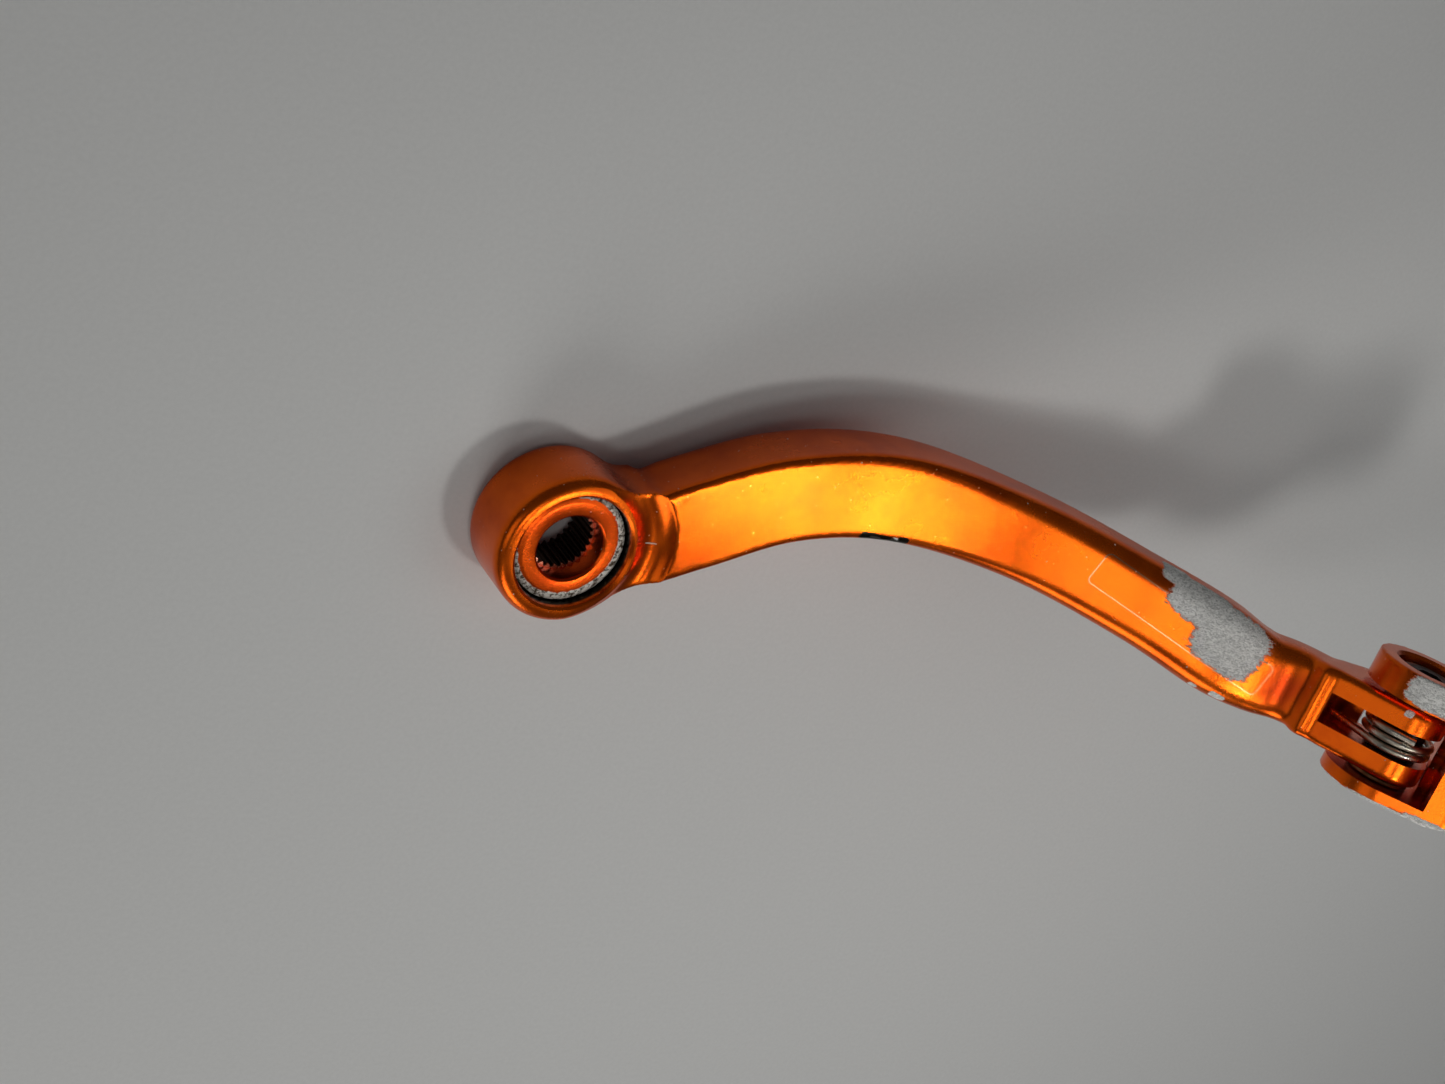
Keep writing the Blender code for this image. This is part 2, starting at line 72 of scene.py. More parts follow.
near_bend, far_bend = (0.057, 0.025, 0.022), (0.137, 0.017, 0.055)
WARM_WHITE = (1.0, 0.98, 0.94)
fork_middle = (0.185, 0.011, 0.090)
soft_box("right_box", (0.27, -0.28, 0.92), near_bend, 0.45, 0.045, 0.28, WARM_WHITE)
soft_box("left_box", (-0.33, -0.18, 0.92), far_bend, 0.45, 0.06, 0.13, WARM_WHITE)
soft_box("front_box", (0.0, -0.32, 0.92), far_bend, 0.80, 0.60, 0.07, WARM_WHITE)
soft_box("low_box", (-0.15, -0.88, 0.45), (0.1, 0.0, 0.0), 1.20, 0.60, 3.3, WARM_WHITE)
soft_box("edge_box", (0.60, 0.05, 0.80), near_bend, 0.60, 0.34, 0.30, WARM_WHITE)
soft_box("fork_box", (-0.86, -0.13, 0.50), fork_middle, 0.80, 0.36, 0.30, WARM_WHITE)
room = bpy.data.worlds.new("room")
room.use_nodes = True
room.node_tree.nodes["Background"].inputs["Color"].default_value = (0.55, 0.57, 0.60, 1.0)
room.node_tree.nodes["Background"].inputs["Strength"].default_value = 0.10
bpy.context.scene.world = room


def add_node(tree, kind, operation=None, **inputs):
    """Add a shader node; each input, by label or by number as i0, takes a value or an output."""
    made = tree.nodes.new(kind)
    if operation:
        made.operation = operation
    for label, value in inputs.items():
        numbered = label[0] == "i" and label[1:].isdigit()
        socket = made.inputs[int(label[1:]) if numbered else label.replace("_", " ")]
        if isinstance(value, bpy.types.NodeSocket):
            tree.links.new(value, socket)
        else:
            socket.default_value = value
    return made


def blend_colours(tree, amount, first, second):
    """The first colour where the amount is 0, the second where it is 1."""
    made = tree.nodes.new("ShaderNodeMix")
    made.data_type = "RGBA"
    tree.links.new(amount, made.inputs["Factor"])
    for socket, colour in ((made.inputs[6], first), (made.inputs[7], second)):
        if isinstance(colour, bpy.types.NodeSocket):
            tree.links.new(colour, socket)
        else:
            socket.default_value = (*colour, 1.0)
    return made.outputs[2]


def ramp(tree, value, low, high, start=0.0, end=1.0):
    """A smooth step of a value between two limits."""
    made = tree.nodes.new("ShaderNodeMapRange")
    made.interpolation_type = "SMOOTHSTEP"
    tree.links.new(value, made.inputs["Value"])
    for label, number in (("From Min", low), ("From Max", high), ("To Min", start),
                          ("To Max", end)):
        made.inputs[label].default_value = number
    return made.outputs["Result"]


def grain(tree, coordinates, scale, detail=3.0, roughness=0.5):
    """Noise on the piece's own coordinates, its scale in lumps per metre."""
    return add_node(tree, "ShaderNodeTexNoise", Vector=coordinates, Scale=scale, Detail=detail,
                    Roughness=roughness).outputs["Fac"]


def new_finish(name):
    """An empty finish: its material, tree, shader and object coordinates."""
    made = bpy.data.materials.new(name)
    made.use_nodes = True
    tree = made.node_tree
    coordinates = tree.nodes.new("ShaderNodeTexCoord").outputs["Object"]
    return made, tree, tree.nodes["Principled BSDF"], coordinates


floor_finish, tree, shader, coordinates = new_finish("pale_floor")
speckle = grain(tree, coordinates, 900.0, 4.0)
tree.links.new(blend_colours(tree, speckle, (0.72, 0.73, 0.73), (0.80, 0.81, 0.81)),
               shader.inputs["Base Color"])
shader.inputs["Roughness"].default_value = 0.55
floor_bump = add_node(tree, "ShaderNodeBump", Height=speckle, Strength=0.15, Distance=0.0003)
tree.links.new(floor_bump.outputs["Normal"], shader.inputs["Normal"])
bpy.ops.object.select_all(action="DESELECT")
bpy.ops.mesh.primitive_plane_add(size=4.0, location=(0.0, 0.0, -0.0003))
floor = bpy.context.object
floor.name = "floor"
floor.data.materials.append(floor_finish)

# ---- Lever ----
# One aluminium forging: a round eye for the shaft, a curved arm, a scooped neck and a fork. The
# eye's recess, the dish beside its rim, the slot and the hinge's bore are machined after that, and
# the whole is anodised orange. Use has rubbed bare places into the orange.
MM = 0.001
hinge = frame["joints"][0]
pivot = Vector(hinge["pos_m"])
hinge_axis = Vector(hinge["axis"]).normalized()
FORK_SLOPE = math.radians(57.0)
fork_along = Vector((math.cos(FORK_SLOPE), 0.0, math.sin(FORK_SLOPE)))
PEG_SET = math.radians(8.0)

ARM_ROWS = (                      # x, y, z of the front face's middle, width, depth, front round
    (-1.8, -5.3, 16.0, 22.0, 14.0, 1.2),
    (10.6, -0.1, 17.5, 22.0, 15.4, 1.2),
    (28.9, 10.0, 18.8, 22.2, 17.0, 1.2),
    (49.6, 20.5, 21.6, 21.2, 18.0, 1.5),
    (75.0, 25.5, 26.1, 21.2, 17.0, 2.2),
    (105.0, 23.4, 36.2, 20.4, 14.8, 3.8),
    (132.0, 18.3, 51.5, 20.8, 13.6, 4.6),
    (150.0, 13.8, 63.8, 22.2, 12.8, 4.8),
    (161.0, 11.2, 69.6, 20.0, 12.2, 4.2),
    (166.4, 11.4, 73.0, 19.0, 12.2, 3.6),
    (170.4, 11.6, 78.4, 18.2, 13.0, 3.0),
    (174.4, 11.6, 84.0, 17.6, 13.5, 2.5),
)
BACK_ROUND = 2.8
LEVER_TWIST = math.radians(-6.0)


def frame_at(origin, along, outward):
    """A placing matrix with local X along, Y outward and Z square to both."""
    across = along.cross(outward).normalized()
    columns = (along, across.cross(along), across)
    placing = Matrix.Identity(4)
    for column, axis in enumerate(columns):
        for row in range(3):
            placing[row][column] = axis[row]
    placing.translation = origin
    return placing


fork_open = hinge_axis.cross(fork_along)
fork_frame = frame_at(pivot, fork_along, fork_open)
peg_frame = fork_frame @ Matrix.Rotation(-PEG_SET, 4, "Z")


def arc(centre, radius, start, end, steps):
    """Points on an arc, its angles in degrees."""
    angles = [math.radians(start + (end - start) * i / steps) for i in range(steps + 1)]
    return [(centre[0] + radius * math.cos(a), centre[1] + radius * math.sin(a)) for a in angles]


def rounded(outline, radius, steps=4):
    """A closed outline whose corners are eased by up to the radius."""
    eased = []
    for i, here in enumerate(outline):
        before, after = outline[i - 1], outline[(i + 1) % len(outline)]
        here, before, after = Vector(here), Vector(before), Vector(after)
        if here.x == 0.0:
            eased.append(tuple(here))
            continue
        start = here + (before - here) * min(0.45, radius / max((before - here).length, 1e-9))
        end = here + (after - here) * min(0.45, radius / max((after - here).length, 1e-9))
        for k in range(steps + 1):
            t = k / steps
            eased.append(tuple(start * (1 - t) ** 2 + here * 2 * t * (1 - t) + end * t ** 2))
    return eased


def close_mesh(piece):
    """Merge doubles, close open ends and turn the faces out."""
    bpy.ops.object.mode_set(mode="EDIT")
    bpy.ops.mesh.select_all(action="SELECT")
    bpy.ops.mesh.remove_doubles(threshold=0.000001)
    bpy.ops.mesh.delete_loose()
    bpy.ops.mesh.select_all(action="SELECT")
    bpy.ops.mesh.fill_holes(sides=0)
    bpy.ops.mesh.normals_make_consistent(inside=False)
    bpy.ops.object.mode_set(mode="OBJECT")


def set_down(piece, placing):
    """Put a piece in its place for good, in its mesh."""
    bpy.ops.object.select_all(action="DESELECT")
    piece.select_set(True)
    bpy.context.view_layer.objects.active = piece
    piece.matrix_world = placing
    bpy.ops.object.transform_apply(location=True, rotation=True, scale=True)
    return piece


def turned(name, outline, steps=160, placing=None):
    """A turned solid: a closed ring of (radius, height) points spun once round Z, in mm."""
    bpy.ops.object.select_all(action="DESELECT")
    bpy.ops.mesh.primitive_circle_add(vertices=len(outline))
    piece = bpy.context.object
    piece.name = name
    for vertex, (radius, height) in zip(piece.data.vertices, outline):
        vertex.co = (radius * MM, 0.0, height * MM)
    bpy.ops.object.mode_set(mode="EDIT")
    bpy.ops.mesh.select_all(action="SELECT")
    bpy.ops.mesh.spin(steps=steps, angle=math.tau, center=(0, 0, 0), axis=(0, 0, 1))
    bpy.ops.object.mode_set(mode="OBJECT")
    close_mesh(piece)
    return set_down(piece, placing) if placing else piece


def cut_plate(name, outline, low, high, placing, edge=0.0):
    """A flat outline in mm, thick from low to high along local Z, with its edges eased."""
    bpy.ops.object.select_all(action="DESELECT")
    bpy.ops.mesh.primitive_circle_add(vertices=len(outline), fill_type="NGON")
    piece = bpy.context.object
    piece.name = name
    for vertex, (x, y) in zip(piece.data.vertices, outline):
        vertex.co = (x * MM, y * MM, low * MM)
    bpy.ops.object.mode_set(mode="EDIT")
    bpy.ops.mesh.select_all(action="SELECT")
    bpy.ops.mesh.extrude_region_move(TRANSFORM_OT_translate={"value": (0, 0, (high - low) * MM)})
    bpy.ops.object.mode_set(mode="OBJECT")
    close_mesh(piece)
    if edge:
        ease = piece.modifiers.new("ease", "BEVEL")
        ease.width = edge * MM
        ease.segments = 4
        ease.limit_method = "ANGLE"
        ease.angle_limit = math.radians(40)
        bpy.ops.object.modifier_apply(modifier="ease")
    return set_down(piece, placing)


def change_by(piece, tool, operation):
    """Cut, join or keep what is shared, by an exact Boolean; the tool is used up."""
    bpy.ops.object.select_all(action="DESELECT")
    piece.select_set(True)
    bpy.context.view_layer.objects.active = piece
    change = piece.modifiers.new("change", "BOOLEAN")
    change.object = tool
    change.operation = operation
    bpy.ops.object.modifier_apply(modifier="change")
    bpy.data.objects.remove(tool, do_unlink=True)


def forge(pieces, name, lump, passes):
    """Melt overlapping blanks into one skin of even small faces and ease its edges."""
    bpy.ops.object.select_all(action="DESELECT")
    for piece in pieces:
        piece.select_set(True)
    blank = pieces[0]
    bpy.context.view_layer.objects.active = blank
    if len(pieces) > 1:
        bpy.ops.object.join()
    blank.name = name
    skin = blank.modifiers.new("skin", "REMESH")
    skin.mode = "VOXEL"
    skin.voxel_size = lump
    bpy.ops.object.modifier_apply(modifier="skin")
    soften(blank, 0.5, passes)
    return blank


def soften(piece, factor, passes, group=""):
    """Relax the surface, all over or where a group says."""
    bpy.context.view_layer.objects.active = piece
    relax = piece.modifiers.new("relax", "SMOOTH")
    relax.factor = factor
    relax.iterations = passes
    relax.vertex_group = group
    bpy.ops.object.modifier_apply(modifier="relax")


def finish_piece(piece, name, finish, angle=32.0):
    """Name the piece, give it its finish and shade its curves smooth."""
    bpy.ops.object.select_all(action="DESELECT")
    piece.select_set(True)
    bpy.context.view_layer.objects.active = piece
    bpy.ops.object.shade_smooth_by_angle(angle=math.radians(angle))
    piece.name = name
    piece.data.materials.clear()
    piece.data.materials.append(finish)


def arm_values(u):
    """Every column of the arm's rows at u from 0 to 1, on a smooth curve through them."""
    spans = len(ARM_ROWS) - 1
    span = min(int(u * spans), spans - 1)
    t = u * spans - span
    b, c = Vector(ARM_ROWS[span]), Vector(ARM_ROWS[span + 1])
    a = Vector(ARM_ROWS[span - 1]) if span else b * 2 - c
    d = Vector(ARM_ROWS[span + 2]) if span + 2 <= spans else c * 2 - b
    return 0.5 * (2 * b + (c - a) * t + (2 * a - 5 * b + 4 * c - d) * t ** 2
                  + (3 * b - a - 3 * c + d) * t ** 3)


def arm_section(u):
    """The arm's rounded-box outline at u, hung behind the front face's line."""
    here = arm_values(u)
    ahead, behind = arm_values(min(u + 0.002, 1.0)), arm_values(max(u - 0.002, 0.0))
    run = Vector(ahead[:3]) - Vector(behind[:3])
    run.normalize()
    face = Vector((-run.z, 0.0, run.x)).normalized()
    turn = Matrix.Rotation(LEVER_TWIST * min(here[0] * MM / pivot.x, 1.0), 3, run)
    face = turn @ face
    side = face.cross(run).normalized()
    width, depth, front = here[3:6]
    half = width / 2
    corners = ((half - front, -front, front, 0), (front - half, -front, front, 90),
               (BACK_ROUND - half, BACK_ROUND - depth, BACK_ROUND, 180),
               (half - BACK_ROUND, BACK_ROUND - depth, BACK_ROUND, 270))
    outline = []
    for across, down, radius, start in corners:
        outline += arc((across, down), radius, start, start + 90, 8)
    middle = Vector(here[:3])
    return [(middle + side * a + face * b) * MM for a, b in outline]


ARM_STATIONS = 150
sections = [arm_section(i / ARM_STATIONS) for i in range(ARM_STATIONS + 1)]
points_round = len(sections[0])
bpy.ops.object.select_all(action="DESELECT")
bpy.ops.mesh.primitive_grid_add(x_subdivisions=ARM_STATIONS, y_subdivisions=points_round, size=1.0)
arm = bpy.context.object
for vertex in arm.data.vertices:
    station = round((vertex.co.x + 0.5) * ARM_STATIONS)
    corner = round((vertex.co.y + 0.5) * points_round) % points_round
    vertex.co = sections[station][corner]
close_mesh(arm)

EYE_RADIUS = 18.0
EYE_HEIGHT = 18.0
TOP_ROUND = 2.8
FOOT_ROUND = 1.6
eye_outline = [(0.0, EYE_HEIGHT)]
eye_outline += reversed(arc((EYE_RADIUS - TOP_ROUND, EYE_HEIGHT - TOP_ROUND), TOP_ROUND, 0, 90, 10))
eye_outline += reversed(arc((EYE_RADIUS - FOOT_ROUND, FOOT_ROUND), FOOT_ROUND, 270, 360, 8))
eye = turned("eye", eye_outline + [(0.0, 0.0)])

FORK_HALF_WIDTH = 9.5
FORK_RADIUS = 9.2
RIDGE_TOP = 10.4                  # a low ridge crosses the fork's foot
fork_outline = arc((0.0, 0.0), FORK_RADIUS, 0, 90, 28)
fork_outline += [(-18.0, FORK_RADIUS), (-19.8, RIDGE_TOP), (-21.2, RIDGE_TOP), (-24.0, 8.0)]
fork_outline += [(-20.5, -4.2), (-13.5, -FORK_RADIUS)]
heel = arc((FORK_RADIUS - 2.0, -FORK_RADIUS + 2.4), 2.0, 270, 360, 8) + [(FORK_RADIUS, -1.0)]
heel_turn = Matrix.Rotation(-PEG_SET, 2)
fork_outline += [tuple(heel_turn @ Vector(p)) for p in heel]
fork = cut_plate("fork", fork_outline, -FORK_HALF_WIDTH, FORK_HALF_WIDTH, fork_frame, 1.3)

WEB_CENTRE = (12.1, 24.14)        # the web fills the corner between the eye and the arm
WEB_ROUND = 9.0
WEB_TOP = 17.4
web_outline = arc(WEB_CENTRE, WEB_ROUND, 243.4, 300.3, 24) + [(10.0, 4.0), (4.0, 10.0)]
web = cut_plate("web", web_outline, 0.1, WEB_TOP, Matrix.Identity(4), 1.0)

LEVER_LUMP = 0.00055
lever = forge([arm, eye, fork, web], "lever_forging", LEVER_LUMP, 5)

# x and y where the arm's flanks leave the eye, and how high each corner is eased
SADDLES = ((0.0145, 0.0125, 0.0145), (0.0125, -0.0150, 0.0250))


def ease_out(value, full, nothing):
    """1 up to the full value, falling to 0 at the other."""
    return max(0.0, min(1.0, (nothing - value) / (nothing - full)))


saddle_group = lever.vertex_groups.new(name="saddle")
neck_group = lever.vertex_groups.new(name="neck")
neck_middle = pivot - fork_along * 0.026
for vertex in lever.data.vertices:
    x, y, z = vertex.co
    weight = max(ease_out(math.hypot(x - sx, y - sy), 0.0035, 0.0085)
                 * ease_out(z, top - 0.003, top) for sx, sy, top in SADDLES)
    if weight > 0:
        saddle_group.add([vertex.index], weight, "REPLACE")
    weight = ease_out(abs((vertex.co - neck_middle).dot(fork_along)), 0.007, 0.011)
    if weight > 0 and x > 0.15:
        neck_group.add([vertex.index], weight, "REPLACE")
soften(lever, 0.5, 90, "saddle")
soften(lever, 0.5, 26, "neck")

RECESS_RADIUS = 13.7
RECESS_FLOOR = 11.5
SEAT_RADIUS = 12.8
lip = ((1.5, 20.0), (1.5, 18.6), (0.6, 17.9), (0.15, 17.5), (0.0, 16.9), (0.0, RECESS_FLOOR))
recess_outline = [(0.0, 20.0)] + [(RECESS_RADIUS + out, height) for out, height in lip]
recess_outline += [(SEAT_RADIUS, RECESS_FLOOR), (SEAT_RADIUS, -2.0), (0.0, -2.0)]
change_by(lever, turned("recess", recess_outline), "DIFFERENCE")
foot = turned("foot_chamfer", [(0.0, 0.5), (SEAT_RADIUS, 0.5), (SEAT_RADIUS + 0.7, -0.3),
                               (0.0, -0.3)])
change_by(lever, foot, "DIFFERENCE")

DISH_RADIUS = 0.0197              # the cutter that sinks the dish is a leaning ring
DISH_CUTTER = 0.0055
DISH_HEIGHT = 0.0225
DISH_LEAN = math.radians(5.0)
bpy.ops.object.select_all(action="DESELECT")
bpy.ops.mesh.primitive_torus_add(major_radius=DISH_RADIUS, minor_radius=DISH_CUTTER,
                                 major_segments=200, minor_segments=64)
dish_cutter = bpy.context.object
dish_place = Matrix.Translation((0, 0, DISH_HEIGHT)) @ Matrix.Rotation(DISH_LEAN, 4, "Y")
change_by(lever, set_down(dish_cutter, dish_place), "DIFFERENCE")

dish_group = lever.vertex_groups.new(name="dish")
for vertex in lever.data.vertices:
    x, y, z = vertex.co
    weight = ease_out(abs(math.hypot(x, y) - 0.0215), 0.0035, 0.0055)
    weight *= ease_out(-z, -0.0140, -0.0120)
    if weight > 0 and x > 0.004:
        dish_group.add([vertex.index], weight, "REPLACE")
soften(lever, 0.5, 14, "dish")

SLOT_HALF_WIDTH = 3.9
SLOT_DEPTH = 17.2
SLOT_FLOOR = 4.8                  # the slot's end part has a floor, with a rounded corner
FLOOR_START = 9.8
FLOOR_ROUND = 6.0
slot_outline = [(30.0, 30.0), (-SLOT_DEPTH, 30.0)]
slot_outline += arc((FLOOR_ROUND - SLOT_DEPTH, FLOOR_ROUND - SLOT_FLOOR), FLOOR_ROUND, 180, 270, 16)
slot_outline += [(-FLOOR_START, -SLOT_FLOOR), (-FLOOR_START, -30.0), (30.0, -30.0)]
slot = cut_plate("slot", slot_outline, -SLOT_HALF_WIDTH, SLOT_HALF_WIDTH, fork_frame)
change_by(lever, slot, "DIFFERENCE")
flare_frame = fork_frame @ Matrix.Translation((0.0, FORK_RADIUS * MM, 0.0)) @ Matrix.Rotation(
    math.pi / 2, 4, "X")
FLARE = 0.4                       # the slot's mouth is this much wider, each side
flare_end, flare_side = -SLOT_DEPTH - 0.7, SLOT_HALF_WIDTH + FLARE
flare = cut_plate("slot_flare", [(flare_end, -flare_side), (30.0, -flare_side), (30.0, flare_side),
                                 (flare_end, flare_side)], -1.0, FLARE, Matrix.Identity(4))
for vertex in flare.data.vertices:
    if vertex.co.z > 0.0:
        vertex.co.x += 0.9 * MM if vertex.co.x < 0.0 else 0.0
        vertex.co.y *= 3.6 / flare_side
change_by(lever, set_down(flare, flare_frame), "DIFFERENCE")

GAP = 0.3                         # clearance between neighbouring pieces
BUSH_OUTER = 5.5
bore_radius = BUSH_OUTER + GAP
hinge_bore = turned("hinge_bore", [(0.0, 20.0), (bore_radius, 20.0), (bore_radius, -20.0),
                                   (0.0, -20.0)], 96, fork_frame)
change_by(lever, hinge_bore, "DIFFERENCE")


def rubbed_place(tree, coordinates, ragged, centre, half_sizes, along=(1, 0, 0), outward=(0, 1, 0),
                 raggedness=1.3, full=0.94):
    """1 inside a rubbed place and 0 outside, with a ragged edge; sizes in mm."""
    placing = frame_at(Vector(centre) * MM, Vector(along).normalized(),
                       Vector(outward).normalized())
    local = tree.nodes.new("ShaderNodeMapping")
    local.vector_type = "TEXTURE"
    tree.links.new(coordinates, local.inputs["Vector"])
    local.inputs["Location"].default_value = placing.translation
    local.inputs["Rotation"].default_value = placing.to_euler()
    local.inputs["Scale"].default_value = Vector(half_sizes) * MM
    place = local.outputs["Vector"]
    for _ in range(2):
        place = add_node(tree, "ShaderNodeVectorMath", "MULTIPLY", i0=place, i1=place).outputs[0]
    total = add_node(tree, "ShaderNodeVectorMath", "DOT_PRODUCT", i0=place, i1=(1, 1, 1))
    far = add_node(tree, "ShaderNodeMath", "POWER", i0=total.outputs["Value"], i1=0.25).outputs[0]
    uneven = add_node(tree, "ShaderNodeMath", "MULTIPLY_ADD", i0=ragged, i1=raggedness,
                      i2=-0.5 * raggedness).outputs[0]
    edge = add_node(tree, "ShaderNodeMath", "ADD", i0=far, i1=uneven).outputs[0]
    return ramp(tree, edge, 1.0, full)


def either(tree, masks):
    """The strongest of several masks."""
    strongest = masks[0]
    for mask in masks[1:]:
        strongest = add_node(tree, "ShaderNodeMath", "MAXIMUM", i0=strongest, i1=mask).outputs[0]
    return strongest


def anodised(name, bright, deep, rubbed=(), painted_shade=(), dirty=()):
    """Satin anodising: grain, cloudy colour, and rubbed places, places darkened deep red with
    painted shade, or dirty places.
    """
    made, tree, shader, coordinates = new_finish(name)
    clouds = grain(tree, coordinates, 85.0, 5.0, 0.6)
    fine = grain(tree, coordinates, 2600.0, 3.0, 0.6)
    stretched = add_node(tree, "ShaderNodeVectorMath", "MULTIPLY", i0=coordinates,
                         i1=(1.0, 2.2, 1.0))
    ragged = grain(tree, stretched.outputs[0], 420.0, 12.0, 0.82)
    streaks = add_node(tree, "ShaderNodeTexNoise", Vector=stretched.outputs[0], Scale=900.0,
                       Detail=8.0, Roughness=0.7, Distortion=1.5).outputs["Fac"]
    ragged = add_node(tree, "ShaderNodeMix", Factor=0.3, i2=ragged, i3=streaks).outputs[0]
    colour = blend_colours(tree, ramp(tree, clouds, 0.25, 0.62), deep, bright)
    specks = ramp(tree, fine, 0.60, 0.78, 0.0, 0.35)
    colour = blend_colours(tree, specks, colour, (0.95, 0.24, 0.02))
    # Painted shade: each place given in painted_shade is darkened to a deep red, as in a shaded
    # hollow.
    if painted_shade:
        masks = [rubbed_place(tree, coordinates, clouds, *place, raggedness=0.6, full=0.2)
                 for place in painted_shade]
        colour = blend_colours(tree, either(tree, masks), colour, (0.50, 0.045, 0.004))
    pits = ramp(tree, grain(tree, coordinates, 1300.0, 2.0, 0.5), 0.745, 0.765)
    masks = [rubbed_place(tree, coordinates, ragged, *place) for place in rubbed]
    bare = either(tree, masks + [pits])
    bare_colour = blend_colours(tree, ramp(tree, streaks, 0.35, 0.6), (0.42, 0.42, 0.41),
                                (0.96, 0.96, 0.94))
    colour = blend_colours(tree, bare, colour, bare_colour)
    if dirty:
        masks = [rubbed_place(tree, coordinates, ragged, *place, raggedness=0.8)
                 for place in dirty]
        grime = either(tree, masks)
        colour = blend_colours(tree, grime, colour, (0.022, 0.018, 0.010))
    tree.links.new(colour, shader.inputs["Base Color"])
    tree.links.new(ramp(tree, bare, 0.0, 1.0, 0.92, 0.15), shader.inputs["Metallic"])
    satin = ramp(tree, clouds, 0.3, 0.7, 0.24, 0.28)
    rough = add_node(tree, "ShaderNodeMix", Factor=bare, i2=satin, i3=0.72).outputs[0]
    tree.links.new(rough, shader.inputs["Roughness"])
    skin = add_node(tree, "ShaderNodeBump", Height=fine, Strength=0.12, Distance=0.0002)
    scored = add_node(tree, "ShaderNodeMath", "MULTIPLY", i0=streaks, i1=bare).outputs[0]
    deep_bump = add_node(tree, "ShaderNodeBump", Height=scored, Strength=0.7, Distance=0.0004,
                         Normal=skin.outputs["Normal"])
    tree.links.new(deep_bump.outputs["Normal"], shader.inputs["Normal"])
    return made, tree, shader, coordinates, bare


ORANGE = (0.86, 0.130, 0.003)
DEEP_ORANGE = (0.64, 0.078, 0.002)
patch_along, patch_out = (0.80, -0.26, 0.54), (-0.52, 0.08, 0.85)
lever_rubbed = (
    ((152.0, 17.0, 63.8), (9.3, 5.0, 7.4), patch_along, patch_out),
    ((144.5, 23.0, 56.8), (8.5, 4.5, 4.6), patch_along, patch_out),
    ((139.5, 27.0, 50.5), (4.0, 4.0, 2.0), patch_along, patch_out),
    ((70.5, 15.2, 25.6), (1.6, 0.7, 0.8)),
    ((75.4, 15.8, 26.4), (1.0, 0.8, 0.8)),
    ((154.0, 3.2, 65.5), (2.2, 1.2, 1.0), patch_along, patch_out),
    ((148.8, 3.6, 61.6), (1.1, 0.9, 0.9), patch_along, patch_out),
    ((1.4, -17.6, 14.6), (0.9, 0.8, 0.9)),
    ((19.4, 3.2, 15.8), (1.6, 0.14, 1.0)),
    ((181.9, 19.6, 95.6), (1.2, 0.9, 0.9)),
)
# Painted shade on the neck's scooped hollow, as a darker, redder patch of the anodising.
lever_painted_shade = (((165.5, 11.0, 73.0), (7.0, 4.5, 8.5), patch_along, patch_out),)
lever_dirty = (
    ((72.0, 15.2, 25.2), (5.6, 1.5, 1.4)),
    ((77.4, 16.0, 26.8), (1.4, 1.3, 1.2)),
)
lever_finish, tree, shader, coordinates, bare = anodised(
    "orange_anodised", ORANGE, DEEP_ORANGE, lever_rubbed, lever_painted_shade, lever_dirty)
panel = frame_at(Vector((0.1413, 0.0172, 0.0572)), Vector((0.82, -0.265, 0.515)).normalized(),
                 Vector(patch_out).normalized())
panel_local = tree.nodes.new("ShaderNodeMapping")
panel_local.vector_type = "TEXTURE"
tree.links.new(coordinates, panel_local.inputs["Vector"])
panel_local.inputs["Location"].default_value = panel.translation
panel_local.inputs["Rotation"].default_value = panel.to_euler()
PANEL_HALF = Vector((0.0250, 0.0200, 0.0043))
PANEL_CORNER = 0.0013
beyond = add_node(tree, "ShaderNodeVectorMath", "ABSOLUTE", i0=panel_local.outputs["Vector"])
inner_half = PANEL_HALF - Vector((PANEL_CORNER, PANEL_CORNER, PANEL_CORNER))
beyond = add_node(tree, "ShaderNodeVectorMath", "SUBTRACT", i0=beyond.outputs[0], i1=inner_half)
beyond = add_node(tree, "ShaderNodeVectorMath", "MAXIMUM", i0=beyond.outputs[0], i1=(0, 0, 0))
beyond = add_node(tree, "ShaderNodeVectorMath", "LENGTH", i0=beyond.outputs[0]).outputs["Value"]
off_line = add_node(tree, "ShaderNodeMath", "SUBTRACT", i0=beyond, i1=PANEL_CORNER).outputs[0]
off_line = add_node(tree, "ShaderNodeMath", "ABSOLUTE", i0=off_line).outputs[0]
scribed = ramp(tree, off_line, 0.00016, 0.00007)
scribed = add_node(tree, "ShaderNodeMath", "MULTIPLY", i0=scribed,
                   i1=ramp(tree, bare, 0.0, 1.0, 1.0, 0.0)).outputs[0]
under = shader.inputs["Base Color"].links[0].from_socket
tree.links.new(blend_colours(tree, scribed, under, (0.42, 0.27, 0.16)), shader.inputs["Base Color"])

# Painted shade with real grit: the groove between the recess wall and the bush is painted near
# black, flecked with brown grit.
flat_place = add_node(tree, "ShaderNodeVectorMath", "MULTIPLY", i0=coordinates, i1=(1, 1, 0))
radius = add_node(tree, "ShaderNodeVectorMath", "LENGTH", i0=flat_place.outputs[0]).outputs["Value"]
height = add_node(tree, "ShaderNodeSeparateXYZ", Vector=coordinates).outputs["Z"]
groove_shade_and_grit = add_node(tree, "ShaderNodeMath", "MULTIPLY", i0=ramp(tree, radius, 0.01395, 0.01375),
                  i1=ramp(tree, height, 0.0171, 0.0163)).outputs[0]
grit = ramp(tree, grain(tree, coordinates, 900.0, 5.0, 0.7), 0.5, 0.75)
grit_and_shade_colour = blend_colours(tree, grit, (0.012, 0.009, 0.006), (0.10, 0.085, 0.045))
under = shader.inputs["Base Color"].links[0].from_socket
tree.links.new(blend_colours(tree, groove_shade_and_grit, under, grit_and_shade_colour), shader.inputs["Base Color"])
finish_piece(lever, "lever_forging", lever_finish)
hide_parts("lever")
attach(lever, "lever")
